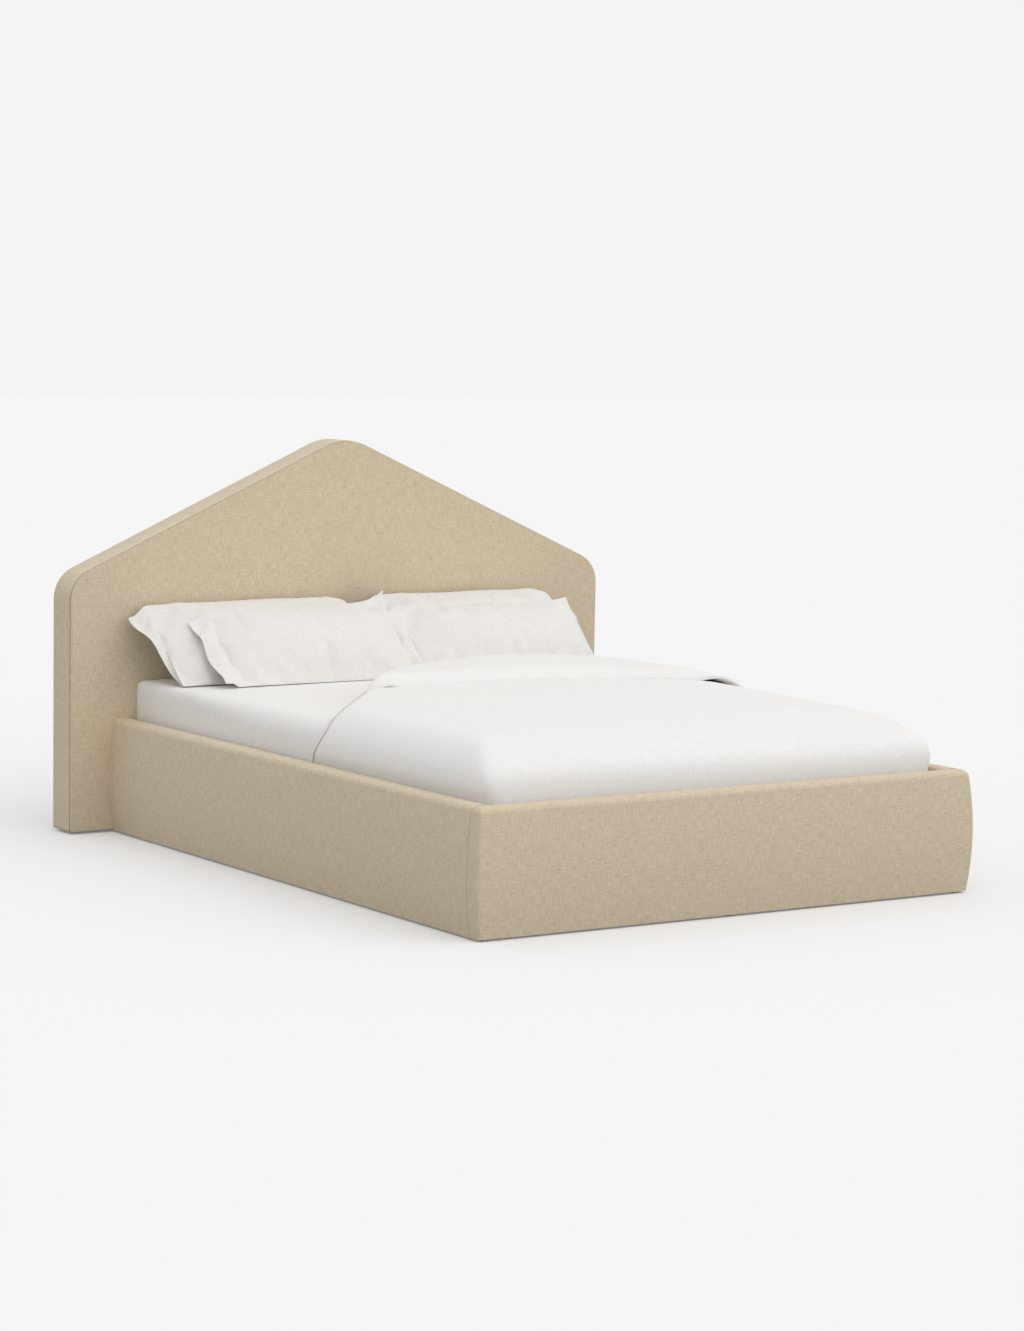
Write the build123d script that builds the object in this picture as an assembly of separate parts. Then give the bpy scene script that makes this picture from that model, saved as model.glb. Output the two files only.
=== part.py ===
from build123d import *
import math
import os

# Upholstered bed with a gabled headboard, for a 60 x 80 inch (queen) mattress.
# Frame: +X to the right seen from the foot, +Y from foot to headboard, +Z up, millimetres.
# The origin is on the floor, under the middle of the whole bed.

# ---- driving dimensions -------------------------------------------------------------------------
DEPTH = 2282.0            # front of the footboard's swell to the back of the headboard
HEADBOARD_W = 1976.0
HEADBOARD_T = 120.0
SHOULDER_Z = 800.0        # where the straight side and the slope would meet
APEX_Z = 1240.0           # where the two slopes would meet
SHOULDER_R = 105.0
APEX_R = 180.0
FOOT_R = 8.0              # rounding of the headboard's two bottom corners
FLOOR_GAP = 6.0           # clearance under the upholstery, which is the height of the glides
FABRIC = 2.0              # upholstery fabric with its lining
WADDING = 8.0             # wadding under the boxing band

RAIL_TOP = 360.0          # top of the padded side rails and footboard
RAIL_FACE = 840.0         # half width over the rails, at their lower edge
RAIL_SWELL = 11.0         # how far the padded face swells beyond that edge
RAIL_INNER = 784.0        # half width of the mattress well
FOOT_FACE = 1130.0        # footboard's lower front edge, forward of the origin
FOOT_INNER = 1082.0       # footboard's inner face, forward of the origin
EDGE_R_OUT = 22.0         # padded top edge, outer side
EDGE_R_IN = 12.0          # padded top edge, well side
BOARD_T = 24.0            # structural board in rails and footboard
BOARD_Z = (14.0, 340.0)

PANEL_T = 12.0            # plywood behind the headboard foam
HEAD_FOAM_T = 30.0
MEMBER_W = 90.0           # stiles and gable rails
STILE_SPLIT_Z = 640.0     # joint between stile and gable rail
BOTTOM_RAIL_H = 60.0
POST_X = (720.0, 800.0)   # posts that carry the side rails
CENTRE_STILE_W = 80.0

SLAT_COUNT = 12
SLAT_W, SLAT_T, SLAT_L = 70.0, 20.0, 1560.0
SLAT_END = 60.0           # first and last slat centre, from the ends of the well
SLAT_EDGE_R = 4.0
LEDGER_W, LEDGER_H = 30.0, 40.0
SLAT_TOP = 222.0
STRAP_W, STRAP_T, STRAP_X = 25.0, 1.5, 700.0
BEAM_W, BEAM_H = 45.0, 90.0
HANGER_T = 3.0
HANGER_L = 48.0
HANGER_FLANGE = 22.0
HANGER_DROP = 4.0         # the hanger's top edge, below the top of the beam
LEG_R = 25.0
LEG_CHAMFER, FOOT_CHAMFER = 2.0, 1.5
LEG_Y = (-360.0, 330.0)
FOOT_DISC_R, FOOT_DISC_T = 22.0, 8.0
STEM_R, STEM_TOP, BORE_R, BORE_TOP = 3.95, 50.0, 4.0, 66.0

BRACKET_T, BRACKET_LEG = 4.0, 60.0
BRACKET_Z = (84.0, 156.0)
BOLT_R, BOLT_HEAD_R, BOLT_HEAD_T = 4.0, 7.0, 5.0
BOLT_Z = (102.0, 138.0)
BOLT_OFFSET = 35.0        # bolt centre from the bracket's corner
RAIL_BOLT_L, FOOT_BOLT_L, HEAD_BOLT_L = 26.0, 22.0, 74.0
SCREW_R, SCREW_HEAD_R, SCREW_HEAD_T = 2.5, 4.5, 3.0
LEDGER_SCREWS = 8
LEDGER_SCREW_END = 130.0  # first and last ledger screw, from the ends of the well
LEDGER_SCREW_L = 48.0
SLAT_SCREW_L = 42.0
HANGER_SCREW_L = 22.0
GLIDE_R = 15.0
HEAD_GLIDE_X = (928.0, 300.0)
RAIL_GLIDE_Y = (-500.0, 400.0)
FOOT_GLIDE_X = 810.0

MATTRESS_W, MATTRESS_L, MATTRESS_H = 1521.0, 2028.0, 254.0
MATTRESS_CORNER_R, MATTRESS_EDGE_R = 40.0, 30.0
MATTRESS_GAP = 3.0        # between the sheet and the headboard
TICKING_T = 12.0          # quilted cover of the mattress
COMFORT_T = 50.0
SHEET_T = 1.2
SHEET_BOTTOM = 240.0
CLEAR = 0.3               # gap between soft pieces that move apart

DUVET_TOP_T = 40.0
DUVET_FOLD_T = 26.0       # extra height of the turned-down band
DUVET_SIDE_T = 9.0
DUVET_FOOT_T = 20.0
DUVET_HEM_Z = 300.0
DUVET_SIDE_Y = {"left": -150.0, "right": 175.0}   # head end of the side drops
# The rest of the duvet's head edge, from right to left; it was turned back at a slant on the left.
DUVET_EDGE = [(650, 450), (188, 480), (0, 445), (-150, 400), (-350, 230), (-480, 100), (-640, -80)]
FOLD_FRONT = 20.0         # front of the turned-down band

PILLOW_W, PILLOW_H, PILLOW_T, PILLOW_R = 700.0, 290.0, 90.0, 40.0
PILLOW_LEAN = 47.0
PILLOW_X = {"left": (-385.0, -297.0), "right": (410.0, 430.0)}   # back pillow, front pillow

# ---- values worked out from them ----------------------------------------------------------------
HALF_D = DEPTH / 2
HALF_W = HEADBOARD_W / 2
HEAD_FRONT = HALF_D - HEADBOARD_T
SLOPE = math.atan2(APEX_Z - SHOULDER_Z, HALF_W)
FRAME_FRONT = HEAD_FRONT + FABRIC + HEAD_FOAM_T + PANEL_T
FRAME_BACK = HALF_D - FABRIC
MEMBER_BOTTOM = FLOOR_GAP + FABRIC + WADDING
SLAT_BOTTOM = SLAT_TOP - SLAT_T
BOARD_INNER = RAIL_INNER + FABRIC
FOOT_BOARD_INNER = FOOT_INNER + FABRIC
FOOT_BOARD_HALF = RAIL_INNER + FABRIC + BOARD_T
MATTRESS_BASE = SLAT_TOP + CLEAR
MATTRESS_TOP = MATTRESS_BASE + MATTRESS_H
MATTRESS_Y = HEAD_FRONT - MATTRESS_GAP - SHEET_T - MATTRESS_L / 2
SHEET_TOP = MATTRESS_TOP + SHEET_T


def block(x, y, z):
    """A box between two limits on each axis."""
    size = [abs(b - a) for a, b in (x, y, z)]
    middle = [(a + b) / 2 for a, b in (x, y, z)]
    return Pos(*middle) * Box(*size)


def both_sides(make):
    """The same piece on the left and on the right."""
    right = make()
    return {"left": mirror(right, Plane.YZ), "right": right}


def save(name, shape):
    """Writes one node; several loose solids are kept side by side in one compound."""
    pieces = shape if isinstance(shape, list) else [shape]
    solids = [solid for piece in pieces for solid in piece.solids()]
    export_step(solids[0] if len(solids) == 1 else Compound(children=solids), f"parts/{name}.step")


def rod(start, direction, length, radius):
    """A round bar that starts at a point and runs along an axis."""
    return extrude(Plane(origin=start, z_dir=direction) * Circle(radius), length)


def screw(start, direction, length, radius, head_r, head_t, proud):
    """A screw or bolt: its head is either proud of the surface at start or let into it."""
    axis = Vector(*direction)
    head_start = Vector(*start) - axis * head_t if proud else Vector(*start)
    shank_start = Vector(*start) if proud else Vector(*start) + axis * head_t
    shank_length = length if proud else length - head_t
    return rod(shank_start, axis, shank_length, radius) + rod(head_start, axis, head_t, head_r)


# ---- headboard ----------------------------------------------------------------------------------
def gable_face(inset, bottom):
    """The headboard's outline, moved inwards by inset, as a face that lies in the XZ plane."""
    half = HALF_W - inset
    apex = APEX_Z - inset / math.cos(SLOPE)
    shoulder = apex - half * math.tan(SLOPE)
    corners = [(-half, bottom), (half, bottom), (half, shoulder), (0, apex), (-half, shoulder)]
    low_r = max(FOOT_R - inset, 1.0)
    radii = [low_r, low_r, SHOULDER_R - inset, APEX_R - inset, SHOULDER_R - inset]
    with BuildSketch() as outline:
        with BuildLine():
            FilletPolyline(*corners, radius=radii, close=True)
        make_face()
    return outline.sketch


def gable_plate(inset, bottom, y):
    """A plate of the headboard's outline between two depths."""
    plane = Plane(origin=(0, y[0], 0), x_dir=(1, 0, 0), z_dir=(0, -1, 0))
    return extrude(plane * gable_face(inset, bottom), -(y[1] - y[0]))


def make_headboard(fasteners):
    """Panel, frame members, foam, wadding and the four fabric pieces of the headboard."""
    inset = FABRIC + WADDING
    depth = (FRAME_FRONT, FRAME_BACK)
    panel = gable_plate(inset, MEMBER_BOTTOM, (FRAME_FRONT - PANEL_T, FRAME_FRONT))
    save("headboard_plywood_panel", panel - fasteners)

    filled = gable_plate(inset, MEMBER_BOTTOM, depth)
    hollow = gable_plate(inset + MEMBER_W, MEMBER_BOTTOM + BOTTOM_RAIL_H, depth)
    upper = block((0, HALF_W), (0, HALF_D), (STILE_SPLIT_Z, APEX_Z))
    inner_x = HALF_W - inset - MEMBER_W
    lower = block((inner_x, HALF_W), (0, HALF_D), (0, STILE_SPLIT_Z))
    post = block(POST_X, depth, (MEMBER_BOTTOM + BOTTOM_RAIL_H, APEX_Z)) & hollow
    for side, piece in both_sides(lambda: (filled & lower)).items():
        save(f"headboard_stile_{side}", piece)
    for side, piece in both_sides(lambda: (filled - hollow) & upper).items():
        save(f"headboard_gable_rail_{side}", piece)
    for side, piece in both_sides(lambda: post).items():
        save(f"headboard_post_{side}", piece - fasteners)
    centre = block((-CENTRE_STILE_W / 2, CENTRE_STILE_W / 2), depth, (MEMBER_BOTTOM + BOTTOM_RAIL_H, APEX_Z))
    save("headboard_centre_stile", centre & hollow)
    save("headboard_bottom_rail",
         block((-inner_x, inner_x), depth, (MEMBER_BOTTOM, MEMBER_BOTTOM + BOTTOM_RAIL_H)))

    foam_front = HEAD_FRONT + FABRIC
    skin_bottom = FLOOR_GAP + FABRIC
    foam = gable_plate(FABRIC, skin_bottom, (foam_front, foam_front + HEAD_FOAM_T))
    save("headboard_foam", foam - fasteners)
    wadding = gable_plate(FABRIC, skin_bottom, (foam_front + HEAD_FOAM_T, FRAME_BACK))
    wadding -= gable_plate(inset, MEMBER_BOTTOM, (foam_front + HEAD_FOAM_T, FRAME_BACK))
    save("headboard_edge_wadding", wadding)
    cover = gable_plate(FABRIC, skin_bottom, (HEAD_FRONT, foam_front))
    save("headboard_front_fabric", cover - fasteners)
    band = gable_plate(0, FLOOR_GAP, (HEAD_FRONT, FRAME_BACK))
    band -= gable_plate(FABRIC, skin_bottom, (HEAD_FRONT, FRAME_BACK))
    save("headboard_boxing_band", band)
    save("headboard_back_cloth", gable_plate(0, FLOOR_GAP, (FRAME_BACK, HALF_D)))


# ---- side rails and footboard -------------------------------------------------------------------
def padded_section(face, inner, inset):
    """Cross-section of a padded rail as (distance outwards, height), moved inwards by inset."""
    low, high = FLOOR_GAP, RAIL_TOP
    swell = face + RAIL_SWELL
    shoulder = high - EDGE_R_OUT
    with BuildSketch() as section:
        with BuildLine():
            ThreePointArc((face, low), (swell, (low + shoulder) / 2), (face, shoulder))
            RadiusArc((face, shoulder), (face - EDGE_R_OUT, high), -EDGE_R_OUT)
            Line((face - EDGE_R_OUT, high), (inner + EDGE_R_IN, high))
            RadiusArc((inner + EDGE_R_IN, high), (inner, high - EDGE_R_IN), -EDGE_R_IN)
            Line((inner, high - EDGE_R_IN), (inner, low))
            Line((inner, low), (face, low))
        make_face()
    return section.sketch if inset == 0 else offset(section.sketch, amount=-inset)


def rail_form(inset, y):
    """The right side rail's padded form, extruded between two depths."""
    plane = Plane(origin=(0, y[0], 0), x_dir=(1, 0, 0), z_dir=(0, -1, 0))
    return extrude(plane * padded_section(RAIL_FACE, RAIL_INNER, inset), -(y[1] - y[0]))


def foot_form(inset):
    """The footboard's padded form: its own section along X, cut to the side rails' outer shape."""
    across = Plane(origin=(HALF_W, 0, 0), x_dir=(0, -1, 0), z_dir=(-1, 0, 0))
    along = extrude(across * padded_section(FOOT_FACE, FOOT_INNER, inset), 2 * HALF_W)
    front = Plane(origin=(0, -HALF_D, 0), x_dir=(1, 0, 0), z_dir=(0, -1, 0))
    side = extrude(front * padded_section(RAIL_FACE, -RAIL_INNER / 2, inset), -HALF_D)
    return along & (side + mirror(side, Plane.YZ))


def make_side_rails(fasteners):
    """Board, foam and fabric of each side rail."""
    length = (-FOOT_INNER, HEAD_FRONT)
    board = block((BOARD_INNER, BOARD_INNER + BOARD_T), length, BOARD_Z)
    inner_form = rail_form(FABRIC, length)
    pieces = {
        "board": board,
        "foam": inner_form - board,
        "fabric": rail_form(0, length) - inner_form,
    }
    for name, piece in pieces.items():
        for side, shape in both_sides(lambda: piece).items():
            save(f"side_rail_{name}_{side}", shape - fasteners)


def make_footboard(fasteners):
    """Board, foam and fabric of the footboard."""
    board = block((-FOOT_BOARD_HALF, FOOT_BOARD_HALF),
                  (-FOOT_BOARD_INNER - BOARD_T, -FOOT_BOARD_INNER), BOARD_Z)
    inner_form = foot_form(FABRIC)
    save("footboard_board", board - fasteners)
    save("footboard_foam", inner_form - board)
    save("footboard_fabric", foot_form(0) - inner_form - fasteners)


# ---- brackets, bolts and screws -----------------------------------------------------------------
def corner_brackets(wall, towards):
    """Two angle brackets that join the side rails to a cross wall; towards is the way out of it."""
    def right():
        on_rail = block((RAIL_INNER - BRACKET_T, RAIL_INNER), (wall, wall + towards * BRACKET_LEG), BRACKET_Z)
        on_wall = block((RAIL_INNER - BRACKET_LEG, RAIL_INNER), (wall, wall + towards * BRACKET_T), BRACKET_Z)
        return on_rail + on_wall
    return list(both_sides(right).values())


def bracket_bolts(wall, towards, length):
    """Bolts of a pair of corner brackets: two into each side rail and two into the cross wall."""
    made = []
    for z in BOLT_Z:
        for sx in (-1, 1):
            into_rail = (sx * (RAIL_INNER - BRACKET_T), wall + towards * BOLT_OFFSET, z)
            made.append(screw(into_rail, (sx, 0, 0), RAIL_BOLT_L, BOLT_R, BOLT_HEAD_R, BOLT_HEAD_T, True))
            into_wall = (sx * (RAIL_INNER - BOLT_OFFSET), wall + towards * BRACKET_T, z)
            made.append(screw(into_wall, (0, -towards, 0), length, BOLT_R, BOLT_HEAD_R, BOLT_HEAD_T, True))
    return made


def well_positions(count, margin):
    """Evenly spaced places along the mattress well."""
    first, last = -FOOT_INNER + margin, HEAD_FRONT - margin
    return [first + (last - first) * i / (count - 1) for i in range(count)]


def ledger_screws():
    """Screws that hold each ledger strip to its rail board, let into the strip."""
    z = SLAT_BOTTOM - LEDGER_H / 2
    return [
        screw((sx * (RAIL_INNER - LEDGER_W), y, z), (sx, 0, 0), LEDGER_SCREW_L,
              SCREW_R, SCREW_HEAD_R, SCREW_HEAD_T, False)
        for y in well_positions(LEDGER_SCREWS, LEDGER_SCREW_END) for sx in (-1, 1)
    ]


def hanger_screws():
    """Two screws through the flanges of each beam hanger."""
    x = BEAM_W / 2 + HANGER_T + HANGER_FLANGE / 2
    z = SLAT_BOTTOM - BEAM_H / 2
    ends = ((-FOOT_INNER, 1), (HEAD_FRONT, -1))
    return [
        screw((sx * x, y + t * HANGER_T, z), (0, -t, 0), HANGER_SCREW_L,
              SCREW_R, SCREW_HEAD_R, SCREW_HEAD_T, True)
        for y, t in ends for sx in (-1, 1)
    ]


def slat_screws():
    """One screw through each end of each slat, down into the ledger strip."""
    return [
        screw((sx * (RAIL_INNER - LEDGER_W / 2), y, SLAT_TOP), (0, 0, -1), SLAT_SCREW_L,
              SCREW_R, SCREW_HEAD_R, SCREW_HEAD_T, False)
        for y in well_positions(SLAT_COUNT, SLAT_END) for sx in (-1, 1)
    ]


# ---- slatted base -------------------------------------------------------------------------------
def make_slats(fasteners):
    """Ledger strips, slats and the webbing that keeps the slats apart."""
    length = (-FOOT_INNER, HEAD_FRONT)
    ledger = block((RAIL_INNER - LEDGER_W, RAIL_INNER), length, (SLAT_BOTTOM - LEDGER_H, SLAT_BOTTOM))
    for side, piece in both_sides(lambda: ledger).items():
        save(f"slat_ledger_{side}", piece - fasteners)
    places = well_positions(SLAT_COUNT, SLAT_END)
    for number, y in enumerate(places, 1):
        slat = block((-SLAT_L / 2, SLAT_L / 2), (y - SLAT_W / 2, y + SLAT_W / 2), (SLAT_BOTTOM, SLAT_TOP))
        slat = fillet(slat.edges().filter_by(Axis.Y).group_by(Axis.Z)[-1], SLAT_EDGE_R)
        save(f"slat_{number:02d}", slat - fasteners)
    strap = block((STRAP_X - STRAP_W / 2, STRAP_X + STRAP_W / 2),
                  (places[0] - SLAT_W / 2, places[-1] + SLAT_W / 2), (SLAT_BOTTOM - STRAP_T, SLAT_BOTTOM))
    save("slat_webbing", list(both_sides(lambda: strap).values()))


def make_centre_support(fasteners):
    """Beam under the slats, its two hangers, two legs and their levelling feet."""
    beam_z = (SLAT_BOTTOM - BEAM_H, SLAT_BOTTOM)
    beam = block((-BEAM_W / 2, BEAM_W / 2), (-FOOT_INNER + HANGER_T, HEAD_FRONT - HANGER_T), beam_z)
    save("centre_beam", beam)
    hangers = []
    for wall, t in ((-FOOT_INNER, 1), (HEAD_FRONT, -1)):
        half = BEAM_W / 2 + HANGER_T
        z = (beam_z[0] - HANGER_T, beam_z[1] - HANGER_DROP)
        cradle = block((-half, half), (wall, wall + t * HANGER_L), z) - beam
        flange = block((-half - HANGER_FLANGE, half + HANGER_FLANGE), (wall, wall + t * HANGER_T), z)
        hangers.append((cradle + flange) - fasteners)
    save("beam_hangers", hangers)
    leg_bottom = FOOT_DISC_T + CLEAR
    for number, y in enumerate(LEG_Y, 1):
        leg = rod((0, y, leg_bottom), (0, 0, 1), beam_z[0] - leg_bottom, LEG_R)
        leg = chamfer(leg.edges().group_by(Axis.Z)[0], LEG_CHAMFER)
        leg -= rod((0, y, leg_bottom), (0, 0, 1), BORE_TOP - leg_bottom, BORE_R)
        save(f"centre_leg_{number}", leg)
        disc = rod((0, y, 0), (0, 0, 1), FOOT_DISC_T, FOOT_DISC_R)
        disc = chamfer(disc.edges().group_by(Axis.Z)[0], FOOT_CHAMFER)
        stem = rod((0, y, FOOT_DISC_T), (0, 0, 1), STEM_TOP - FOOT_DISC_T, STEM_R)
        save(f"levelling_foot_{number}", disc + stem)


def make_glides():
    """Nylon glides under the headboard, the side rails and the footboard."""
    rail_x = (RAIL_INNER + RAIL_FACE) / 2
    head_y = (HEAD_FRONT + HALF_D) / 2
    foot_y = -(FOOT_INNER + FOOT_FACE) / 2
    places = [(sx * x, head_y) for sx in (-1, 1) for x in HEAD_GLIDE_X]
    places += [(sx * rail_x, y) for sx in (-1, 1) for y in RAIL_GLIDE_Y]
    places += [(sx * FOOT_GLIDE_X, foot_y) for sx in (-1, 1)] + [(0.0, foot_y)]
    save("floor_glides", [rod((x, y, 0), (0, 0, 1), FLOOR_GAP, GLIDE_R) for x, y in places])


# ---- mattress and bedding -----------------------------------------------------------------------
def rounded_slab(width, length, z, corner_r, edge_r):
    """A mattress-like slab: rounded corners in plan and a rounded top edge."""
    slab = block((-width / 2, width / 2), (MATTRESS_Y - length / 2, MATTRESS_Y + length / 2), z)
    slab = fillet(slab.edges().filter_by(Axis.Z), corner_r)
    return fillet(slab.faces().sort_by(Axis.Z)[-1].edges(), edge_r)


def make_mattress():
    """Support core, comfort layer, quilted ticking and the fitted sheet over them."""
    core_r, edge_r = MATTRESS_CORNER_R - TICKING_T, MATTRESS_EDGE_R - TICKING_T
    inside_z = (MATTRESS_BASE + TICKING_T, MATTRESS_TOP - TICKING_T)
    inside = rounded_slab(MATTRESS_W - 2 * TICKING_T, MATTRESS_L - 2 * TICKING_T, inside_z, core_r, edge_r)
    split = Plane.XY.offset(inside_z[1] - COMFORT_T)
    save("mattress_support_core", inside.split(split, keep=Keep.BOTTOM))
    save("mattress_comfort_layer", inside.split(split, keep=Keep.TOP))
    outside = rounded_slab(MATTRESS_W, MATTRESS_L, (MATTRESS_BASE, MATTRESS_TOP),
                           MATTRESS_CORNER_R, MATTRESS_EDGE_R)
    save("mattress_ticking", outside - inside)
    sheet = rounded_slab(MATTRESS_W + 2 * SHEET_T, MATTRESS_L + 2 * SHEET_T, (SHEET_BOTTOM, SHEET_TOP),
                         MATTRESS_CORNER_R + SHEET_T, MATTRESS_EDGE_R + SHEET_T)
    save("fitted_sheet", sheet - outside)


def make_duvet():
    """Duvet tucked in at the sides and foot, with its head end turned down as a thicker band."""
    half_in = MATTRESS_W / 2 + SHEET_T + CLEAR
    half_out = half_in + DUVET_SIDE_T
    foot_in = MATTRESS_Y - MATTRESS_L / 2 - SHEET_T - CLEAR
    foot_out = foot_in - DUVET_FOOT_T
    under = SHEET_TOP + CLEAR
    right, left = (half_out, DUVET_SIDE_Y["right"]), (-half_out, DUVET_SIDE_Y["left"])
    corners = [(half_out, foot_out), right] + DUVET_EDGE + [left, (-half_out, foot_out)]
    plan = Plane.XY.offset(under) * make_face(Polyline(*corners, close=True))
    top = extrude(plan, DUVET_TOP_T)
    deep_t = DUVET_TOP_T + DUVET_FOLD_T
    band = extrude(plan, deep_t) & block((-half_out, half_out), (FOLD_FRONT, HALF_D), (under, under + deep_t))
    drop_z = (DUVET_HEM_Z, under)
    foot = block((-half_out, half_out), (foot_out, foot_in), drop_z)
    drops = [block(sorted((sign * half_in, sign * half_out)), (foot_out, DUVET_SIDE_Y[side]), drop_z)
             for side, sign in (("left", -1), ("right", 1))]
    save("duvet", top + band + drops[0] + drops[1] + foot)


def make_pillow(x, y):
    """A plain pillow form that leans back on the one behind it, with its lowest point on the sheet."""
    form = fillet(Box(PILLOW_W, PILLOW_H, PILLOW_T).edges(), PILLOW_R)
    leaning = Rot(PILLOW_LEAN, 0, 0) * form
    box = leaning.bounding_box()
    return Pos(x, y - box.max.Y, SHEET_TOP + CLEAR - box.min.Z) * leaning


def make_pillows():
    """Two pillows on each side: the back one against the headboard, the front one against it."""
    step = (PILLOW_T + 2 * CLEAR) / math.sin(math.radians(PILLOW_LEAN))
    for side, (x_back, x_front) in PILLOW_X.items():
        save(f"pillow_back_{side}", make_pillow(x_back, HEAD_FRONT - CLEAR))
        save(f"pillow_front_{side}", make_pillow(x_front, HEAD_FRONT - CLEAR - step))


# ---- the whole bed ------------------------------------------------------------------------------
os.makedirs("parts", exist_ok=True)

head_bolts = bracket_bolts(HEAD_FRONT, -1, HEAD_BOLT_L)
foot_bolts = bracket_bolts(-FOOT_INNER, 1, FOOT_BOLT_L)
frame_screws = ledger_screws() + hanger_screws()
slat_fixings = slat_screws()

save("bracket_bolts", head_bolts + foot_bolts)
save("frame_screws", frame_screws)
save("slat_screws", slat_fixings)
save("head_brackets", [b - head_bolts for b in corner_brackets(HEAD_FRONT, -1)])
save("foot_brackets", [b - foot_bolts for b in corner_brackets(-FOOT_INNER, 1)])
make_headboard(head_bolts + frame_screws)
make_side_rails(head_bolts + foot_bolts + frame_screws)
make_footboard(foot_bolts + frame_screws)
make_slats(frame_screws + slat_fixings)
make_centre_support(frame_screws)
make_glides()
make_mattress()
make_duvet()
make_pillows()
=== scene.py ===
# An upholstered bed with a gabled headboard, made up with a mattress, a fitted sheet, a duvet and
# four pillows. Metres; +X to the right seen from the foot, +Y from footboard to headboard, +Z up.
import math

import bmesh
import bpy
from mathutils import Matrix, Vector, noise


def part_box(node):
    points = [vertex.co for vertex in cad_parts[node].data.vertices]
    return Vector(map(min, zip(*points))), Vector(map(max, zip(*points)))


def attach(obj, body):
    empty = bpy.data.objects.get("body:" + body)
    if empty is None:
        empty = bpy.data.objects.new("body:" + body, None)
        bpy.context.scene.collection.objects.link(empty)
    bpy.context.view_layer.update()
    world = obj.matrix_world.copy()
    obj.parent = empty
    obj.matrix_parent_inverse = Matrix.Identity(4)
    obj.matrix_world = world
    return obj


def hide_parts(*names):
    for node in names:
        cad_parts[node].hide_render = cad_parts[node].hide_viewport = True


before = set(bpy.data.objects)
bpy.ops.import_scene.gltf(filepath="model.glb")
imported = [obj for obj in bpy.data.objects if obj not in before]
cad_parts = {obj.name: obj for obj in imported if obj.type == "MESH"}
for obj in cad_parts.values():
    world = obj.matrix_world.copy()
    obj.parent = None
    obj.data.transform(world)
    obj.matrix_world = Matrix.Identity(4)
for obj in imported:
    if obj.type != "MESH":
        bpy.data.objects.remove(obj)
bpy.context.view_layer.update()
scene = bpy.context.scene


# ---- Camera --------------------------------------------------------------------------------------
# A long lens at standing height, off the left foot corner of the bed, turned a third of the way
# round towards its side and looking slightly down.
CAMERA_PLACE = (-5.785, -8.850, 1.715)
CAMERA_LENS = 95.2
CAMERA_HEADING, CAMERA_TILT, CAMERA_ROLL = (math.radians(a) for a in (33.12, 6.08, 0.94))

camera = bpy.data.objects.new("camera", bpy.data.cameras.new("camera"))
camera.data.lens = CAMERA_LENS
camera.matrix_world = (
    Matrix.Translation(CAMERA_PLACE)
    @ Matrix.Rotation(-CAMERA_HEADING, 4, "Z")
    @ Matrix.Rotation(math.pi / 2 - CAMERA_TILT, 4, "X")
    @ Matrix.Rotation(CAMERA_ROLL, 4, "Z")
)
scene.collection.objects.link(camera)
scene.camera = camera


# ---- Studio --------------------------------------------------------------------------------------
# A pale seamless floor under an even white dome, with one very soft key light from the front and
# right, so that the tops of things are lightest and the left side is a little darker.
STUDIO_PALE = "F4F4F4"
DOME_STRENGTH = 0.90
KEY_STRENGTH = 0.80
KEY_SOFTNESS = math.radians(80)
KEY_FROM = Vector((0.30, -0.62, 0.80))
FLOOR_HALF = 40.0
FLOOR_PAPER = "E3E3E3"     # as the lens sees it
BOUNCE_PAPER = "B4B4B4"    # as it lights the bed
FLOOR_GLOW = 0.16


def linear(code):
    """An sRGB hex colour as linear red, green, blue, and an alpha of one."""
    parts = [int(code[i:i + 2], 16) / 255 for i in (0, 2, 4)]
    return [c / 12.92 if c <= 0.04045 else ((c + 0.055) / 1.055) ** 2.4 for c in parts] + [1.0]


def add(tree, kind, inputs, **settings):
    """Adds a node. Each input is a plain value, an output, or a node whose first output it takes."""
    node = tree.nodes.new("ShaderNode" + kind)
    for name, value in settings.items():
        setattr(node, name, value)
    for name, value in inputs.items():
        if isinstance(value, bpy.types.Node):
            value = value.outputs[0]
        if isinstance(value, bpy.types.NodeSocket):
            tree.links.new(value, node.inputs[name])
        else:
            node.inputs[name].default_value = value
    return node


def blank_material(name):
    """A new material with an empty node tree."""
    material = bpy.data.materials.new(name)
    material.use_nodes = True
    material.node_tree.nodes.clear()
    return material, material.node_tree


def studio_floor_material():
    """Matt paper that looks lit from within to the lens alone, so that its shadows stay faint."""
    material, tree = blank_material("studio_paper")
    to_lens = add(tree, "LightPath", {}).outputs["Is Camera Ray"]
    glow_share = add(tree, "Math", {0: to_lens, 1: FLOOR_GLOW}, operation="MULTIPLY")
    seen = add(tree, "Mix", {0: to_lens, 6: linear(BOUNCE_PAPER), 7: linear(FLOOR_PAPER)}, data_type="RGBA")
    paper = add(tree, "BsdfDiffuse", {"Color": seen.outputs[2]})
    glow = add(tree, "Emission", {"Color": linear(STUDIO_PALE), "Strength": glow_share})
    add(tree, "OutputMaterial", {"Surface": add(tree, "AddShader", {0: paper, 1: glow})})
    return material


def studio_dome():
    """An even white dome, a little weaker as a light than it looks as a background."""
    world = bpy.data.worlds.new("studio_dome")
    world.use_nodes = True
    tree = world.node_tree
    tree.nodes.clear()
    to_lens = add(tree, "LightPath", {}).outputs["Is Camera Ray"]
    strength = add(tree, "MapRange", {"Value": to_lens, "To Min": DOME_STRENGTH, "To Max": 1.0})
    dome = add(tree, "Background", {"Color": linear(STUDIO_PALE), "Strength": strength})
    add(tree, "OutputWorld", {"Surface": dome})
    return world


scene.world = studio_dome()
scene.view_settings.view_transform = "Standard"

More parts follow.
